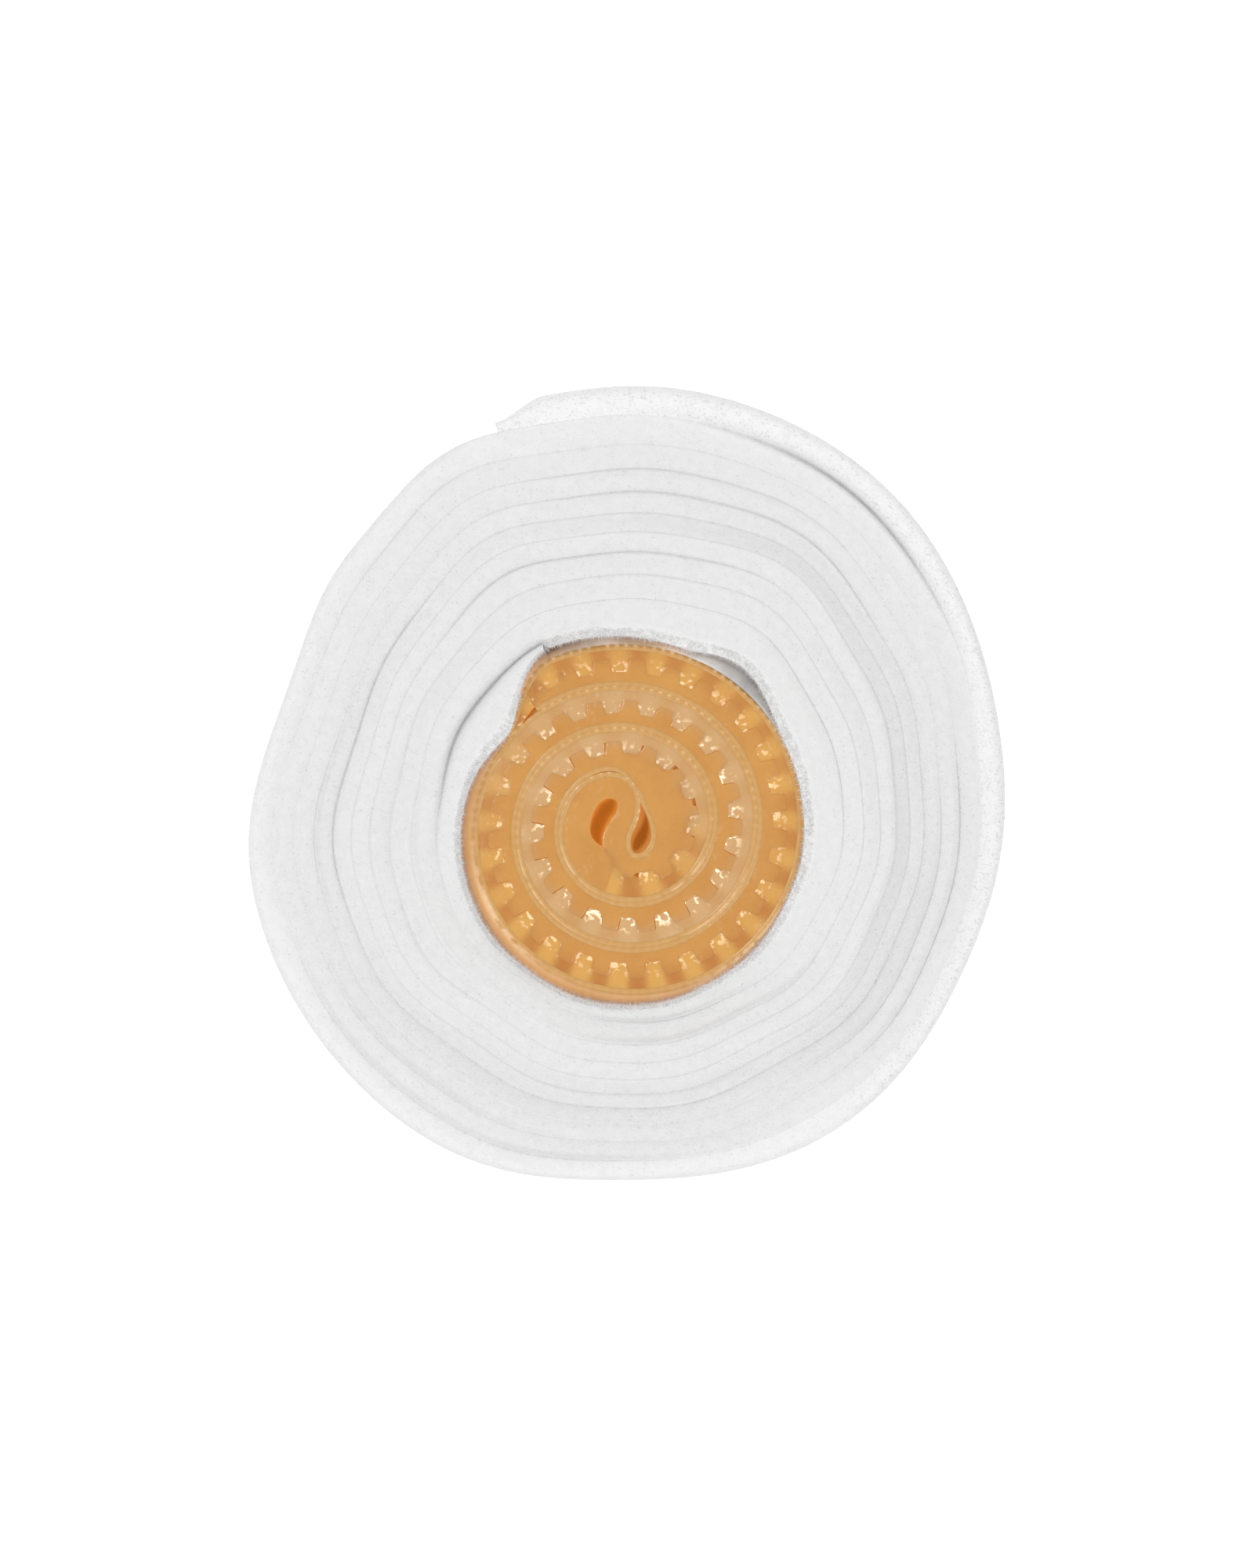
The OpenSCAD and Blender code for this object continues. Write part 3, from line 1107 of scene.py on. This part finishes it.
@dataclass
class RibbedStrip:
    """The amber gel strip with its ribs, folded at the middle and coiled."""

    plan: CoilPlan
    middle: Array
    height: float
    finish: bpy.types.Material
    edge_r: float = 0.05
    crown: float = 0.04
    lap: float = 0.01

    def profile(self, p: Array) -> list[tuple[Array | float, Array | float]]:
        """Points of the strip's section: offset beside the line and drop below the rim.

        The section runs up the ribbed side, over a crowned top with rounded edges and
        down the smooth side. Its ribbed side moves in and out along the strip.

        Args:
            p: Degrees along the strip.

        Returns:
            Offset and drop of each point, in millimetres.
        """
        plan, edge = self.plan, self.edge_r
        left = plan.ribbed_side(p)
        right = self.lap - plan.glue - plan.fill(p) + plan.squeeze(p)
        turn = np.linspace(0.0, np.pi / 2, 4)
        rounding = list(zip(edge * (1 - np.cos(turn)), edge * (1 - np.sin(turn))))
        low_left, low_right = left + plan.ribbed_slant(p), right - plan.smooth_slant(p)
        up = [(low_left, self.height), (low_left, plan.slant_drop),
              ((left + low_left) / 2, plan.slant_half)]
        up += [(left - inset, drop) for inset, drop in rounding]
        over = [((left - edge) * (1 - share) + (right + edge) * share,
                 -self.crown * np.sin(np.pi * share)) for share in (0.3, 0.5, 0.7)]
        down = [(right + inset, drop) for inset, drop in rounding[::-1]]
        down += [((right + low_right) / 2, plan.slant_half), (low_right, plan.slant_drop),
                 (low_right, self.height)]
        return up + over + down

    def looks(self, p: Array, drops: Array) -> dict[str, Array]:
        """Numbers that the gel's finish reads.

        The tone is a wave along the ribs, painted light for light seen through them,
        strongest at the front and weaker where the strip is frosted. The inner half's ribs
        take the tone of the grooves they fill.

        Args:
            p: Degrees along the strip.
            drops: Drop of each vertex below the rim, by p and point.

        Returns:
            Tone, frost, depth and painted highlights of each vertex, by p and point.
        """
        plan, column = self.plan, np.arange(drops.shape[1])
        ribs, frosted = plan.rib_share(p), plan.frost(p)
        length = plan.length_at(np.abs(p) + np.where(p > 0, -90.0, 90.0))
        # Painted light: lighter ribs and darker grooves, strongest at the front.
        wave = np.cos(2 * np.pi * (length / plan.rib_pitch - np.where(p > 0, 0.395, 0.895)))
        ribbed = np.where(p > plan.first_outer, 0.5 * np.tanh(1.6 * wave), 0.0)
        reach = np.clip((7.5 - column) / 2.0, 0.0, 1.0)
        between = (ribs * (p < -35.0))[:, None] * reach[None]
        opposite = plan.frost(TURN / 2 - p)[:, None]
        front = bell(plan.around(p), 270.0, 60.0)
        strength = (0.65 + 0.35 * front) * (1.0 - 0.35 * frosted)
        # Painted glints at the rib tips near the rim.
        near = np.clip(1.0 - np.abs(column - 6.0) / 3.0, 0.0, 1.0)
        outer = np.where(p > 200.0, 0.45 + 0.55 * bell(p, 600.0, 130.0), 0.0)
        return {
            "tone": (0.5 + ribbed * strength)[:, None] - between * (0.25 + 0.1 * front[:, None]),
            "frost": frosted[:, None] + 0.8 * between * opposite,
            "depth": np.clip(0.1 * (drops > 0.01) + drops / 4.0, 0.0, 1.0),
            "painted_highlight": (outer * ribs**4)[:, None] * near[None]}

    def build(self) -> None:
        """Makes the strip and ties it to the coil."""
        p = self.plan.steps()
        grid, drops = self.plan.sections(p, self.profile(p), self.height, self.middle)
        rows, columns = drops.shape
        piece = mesh_object("ribbed_gel", grid.reshape(-1, 3), tube_faces(rows, columns),
                            self.finish, self.looks(p, drops))
        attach(piece, Body.COIL.value)
        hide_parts("ribbed_strip")
        LOG.info("ribbed strip: %d sections", rows)


@dataclass
class Backing:
    """The woven backing on the strip's smooth side."""

    plan: CoilPlan
    middle: Array
    height: float
    finish: bpy.types.Material
    thread_pitch: float = 1.08
    steps_per_thread: int = 6

    def profile(self, p: Array, thread: Array) -> list[tuple[Array | float, Array | float]]:
        """Points of the backing's section: offset beside the line and drop below the rim.

        The upper edge has a bead for each thread. On the outermost turn the outer side
        flares by the coil's swell.

        Args:
            p: Degrees along the strip.
            thread: 1 on a thread and 0 between two.

        Returns:
            Offset and drop of each point, in millimetres.
        """
        plan, bead = self.plan, 0.03 * thread**2
        inside = -plan.glue - plan.fill(p) + plan.squeeze(p)
        outside, slant = inside - plan.backing, plan.smooth_slant(p)
        flare = plan.swell(plan.fold_dir + p) * smooth((p - plan.outer_half + 350.0) / 40.0)
        low_in, low_out = inside - slant, outside - flare - slant
        return [(low_in, self.height), (low_in, plan.slant_drop),
                (inside - slant / 2, plan.slant_half), (inside + 0.09, 0.06),
                (inside + 0.05, -0.01), (inside - 0.5 * plan.backing, -0.03 - bead),
                (outside, -0.02 - bead / 2), (outside - 0.04 - 0.1 * flare, 0.02 + 0.3 * flare),
                (outside - 0.45 * flare, 1.0), (outside - 0.8 * flare - slant / 4, 2.2),
                (outside - flare - slant / 2, plan.slant_half), (low_out, plan.slant_drop),
                (low_out, self.height)]

    def looks(self, p: Array, thread: Array, drops: Array) -> dict[str, Array]:
        """Numbers that the backing's finish reads.

        The outer half gets painted highlights along two arcs at the front, and painted glints in
        dots at the back.

        Args:
            p: Degrees along the strip.
            thread: 1 on a thread and 0 between two.
            drops: Drop of each vertex below the rim, by p and point.

        Returns:
            Weave, painted highlights and depth of each vertex, by p and point.
        """
        around = self.plan.around(p)
        # Painted highlights: two arcs at the front and dots at the back.
        arcs = bell(around, 215.0, 24.0) + bell(around, 318.0, 20.0)
        dots = 0.9 * thread**3 * bell(around, 80.0, 80.0)
        across = bell(np.arange(drops.shape[1]), 6.5, 0.7)
        return {
            "weave": np.repeat(thread[:, None], drops.shape[1], 1),
            "painted_highlight": (np.clip(arcs * 0.8 + dots, 0.0, 1.0) * (p > 0))[:, None] * across[None],
            "depth": np.clip(drops / self.plan.slant_half, 0.0, 1.0)}

    def build(self) -> None:
        """Makes the backing with even steps along it and ties it to the coil."""
        ends = self.plan.length_at(
            np.array([self.plan.inner_half, self.plan.outer_half + self.plan.tongue]))
        count = int(ends.sum() / self.thread_pitch * self.steps_per_thread)
        even = np.linspace(-ends[0], ends[1], count)
        p = np.sign(even) * self.plan.turn_at(np.abs(even))
        line = self.plan.beside(p, -self.plan.back)
        along = np.concatenate([[0.0], np.cumsum(np.linalg.norm(np.diff(line, axis=0), axis=1))])
        thread = 0.5 + 0.5 * np.cos(2 * np.pi * along / self.thread_pitch)
        grid, drops = self.plan.sections(p, self.profile(p, thread), self.height, self.middle)
        piece = mesh_object("woven_backing", grid.reshape(-1, 3), tube_faces(*drops.shape),
                            self.finish, self.looks(p, thread, drops))
        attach(piece, Body.COIL.value)
        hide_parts("scrim_backing")
        LOG.info("backing: %.0f mm long", along[-1])


@dataclass
class Sleeve:
    """The clear film round the coil."""

    plan: CoilPlan
    middle: Array
    height: float
    finish: bpy.types.Material
    film: float = 0.2

    def build(self) -> None:
        """Makes the sleeve: a thin wall round the coil whose top flares over the gap."""
        a = np.arange(0.0, TURN, 1.5)
        top = self.height - 1.0 + wander(np.radians(a), [(0.25, 5.0, 0.2), (0.2, 8.0, 1.0)])
        drops = np.array([self.height, 14.0, 5.0, 2.2, 1.0, 0.4, 0.0])
        widths = np.array([1.0, 1.0, 0.98, 0.8, 0.5, 0.22, 0.05])
        rim, wide = self.plan.rim_r(a), self.plan.sleeve_r(a)
        walls = []
        for grow, order in ((0.03, slice(None)), (0.03 + self.film, slice(None, None, -1))):
            for drop, width in zip(drops[order], widths[order]):
                radius = rim + (wide - rim) * width + grow
                z = np.maximum(top - drop, 0.0)
                walls.append(np.column_stack(
                    [self.plan.settle(ray(radius, a)) - self.middle, z]))
        grid = np.stack(walls, axis=1)
        rows, columns = grid.shape[:2]
        # Where the sleeve bulges it is less clear and shows the film's painted shade.
        bulge_cover = np.repeat(np.clip(self.plan.bulge(a), 0.0, 1.0)[:, None], columns, 1)
        piece = mesh_object("clear_sleeve", grid.reshape(-1, 3),
                            tube_faces(rows, columns, closed_path=True),
                            self.finish, {"bulge_cover": bulge_cover})
        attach(piece, Body.COIL.value)
        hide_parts("clear_film")
        LOG.info("sleeve: %d sections", rows)


# --- Studio ---------------------------------------------------------------------------


@dataclass
class Studio:
    """Pale floor, soft light and the camera above the roll."""

    top: float
    lens: float = 100.0
    seen_height: float = 0.18
    sensor: float = 36.0

    def floor(self) -> None:
        """Makes a white floor that a direct look sees as white outside the shadow."""
        bpy.ops.mesh.primitive_plane_add(size=6.0, location=(0.0, 0.0, -0.0002))
        floor = bpy.context.object
        floor.name = "studio_floor"
        nodes = Nodes("studio_floor")
        nodes.set(Base_Color=(0.9, 0.9, 0.9, 1.0), Roughness=0.9, Specular_IOR_Level=0.1)
        glow = nodes.add("ShaderNodeEmission")
        path = nodes.add("ShaderNodeLightPath")
        direct = nodes.math("MAXIMUM", path.outputs["Is Camera Ray"], path.outputs["Is Glossy Ray"])
        direct = nodes.math("MAXIMUM", direct, path.outputs["Is Transmission Ray"])
        nodes.join(nodes.math("MULTIPLY", direct, 0.45), glow.inputs["Strength"])
        both = nodes.add("ShaderNodeAddShader")
        nodes.join(nodes.shader.outputs[0], both.inputs[0])
        nodes.join(glow.outputs[0], both.inputs[1])
        nodes.join(both.outputs[0], nodes.tree.nodes["Material Output"].inputs["Surface"])
        floor.data.materials.append(nodes.material)

    def world(self) -> None:
        """Lights the roll evenly and shows white to a direct look."""
        world = bpy.data.worlds.new("studio")
        bpy.context.scene.world = world
        world.use_nodes = True
        tree = world.node_tree
        background = tree.nodes["Background"]
        background.inputs["Color"].default_value = (1.0, 1.0, 1.0, 1.0)
        path = tree.nodes.new("ShaderNodeLightPath")
        blend = tree.nodes.new("ShaderNodeMix")
        blend.inputs[2].default_value = 0.85
        blend.inputs[3].default_value = 1.0
        tree.links.new(path.outputs["Is Camera Ray"], blend.inputs[0])
        tree.links.new(blend.outputs[0], background.inputs["Strength"])

    def lamp(self, name: str, place: tuple[float, float, float], size: tuple[float, float],
             power: float) -> None:
        """Adds a soft rectangular lamp that faces the roll's top.

        Args:
            name: Name of the lamp.
            place: Its place in metres.
            size: Its width and height in metres.
            power: Its power in watts.
        """
        light = bpy.data.lights.new(name, "AREA")
        light.shape = "RECTANGLE"
        light.size, light.size_y = size
        light.energy = power
        lamp = bpy.data.objects.new(name, light)
        bpy.context.scene.collection.objects.link(lamp)
        away = np.array(place) - np.array([0.0, 0.0, self.top])
        lamp.location = place
        lamp.rotation_mode = "QUATERNION"
        lamp.rotation_quaternion = Vector(away.tolist()).to_track_quat("Z", "Y")

    def camera(self) -> None:
        """Adds the camera straight above, with +Y up in its picture."""
        data = bpy.data.cameras.new("camera")
        data.lens, data.sensor_width = self.lens, self.sensor
        camera = bpy.data.objects.new("camera", data)
        bpy.context.scene.collection.objects.link(camera)
        distance = self.seen_height * self.lens / self.sensor
        camera.location = (0.0, 0.0, self.top + distance)
        bpy.context.scene.camera = camera

    def build(self) -> None:
        """Sets up the whole studio."""
        self.floor()
        self.world()
        self.lamp("key", (-0.45, 0.35, 0.75), (0.22, 0.22), 1.1)
        self.lamp("fill", (0.55, -0.25, 0.60), (0.2, 0.3), 0.6)
        self.lamp("front", (-0.20, -0.50, 0.65), (0.3, 0.15), 0.5)
        self.lamp("glint_left", (-0.30, 0.10, 0.75), (0.05, 0.05), 0.2)
        self.lamp("glint_right", (0.22, -0.28, 0.70), (0.05, 0.05), 0.2)
        self.camera()
        bpy.context.scene.view_settings.view_transform = "Standard"


def main() -> None:
    """Builds the pieces in order."""
    logging.basicConfig(level=logging.INFO, format="%(name)s: %(message)s")
    roll = RollPlan()
    middle = roll.middle()
    height = {node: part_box(node)[1][2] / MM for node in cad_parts}
    Studio(top=height["fleece_wrap"] * MM).build()
    Fleece(roll, height["fleece_wrap"], FleeceFinish().material()).build()
    RibbedStrip(roll.coil, middle, height["ribbed_strip"], GelFinish().material()).build()
    Backing(roll.coil, middle, height["scrim_backing"], BackingFinish().material()).build()
    Sleeve(roll.coil, middle, height["clear_film"], FilmFinish().material()).build()


if __name__ == "__main__":
    main()
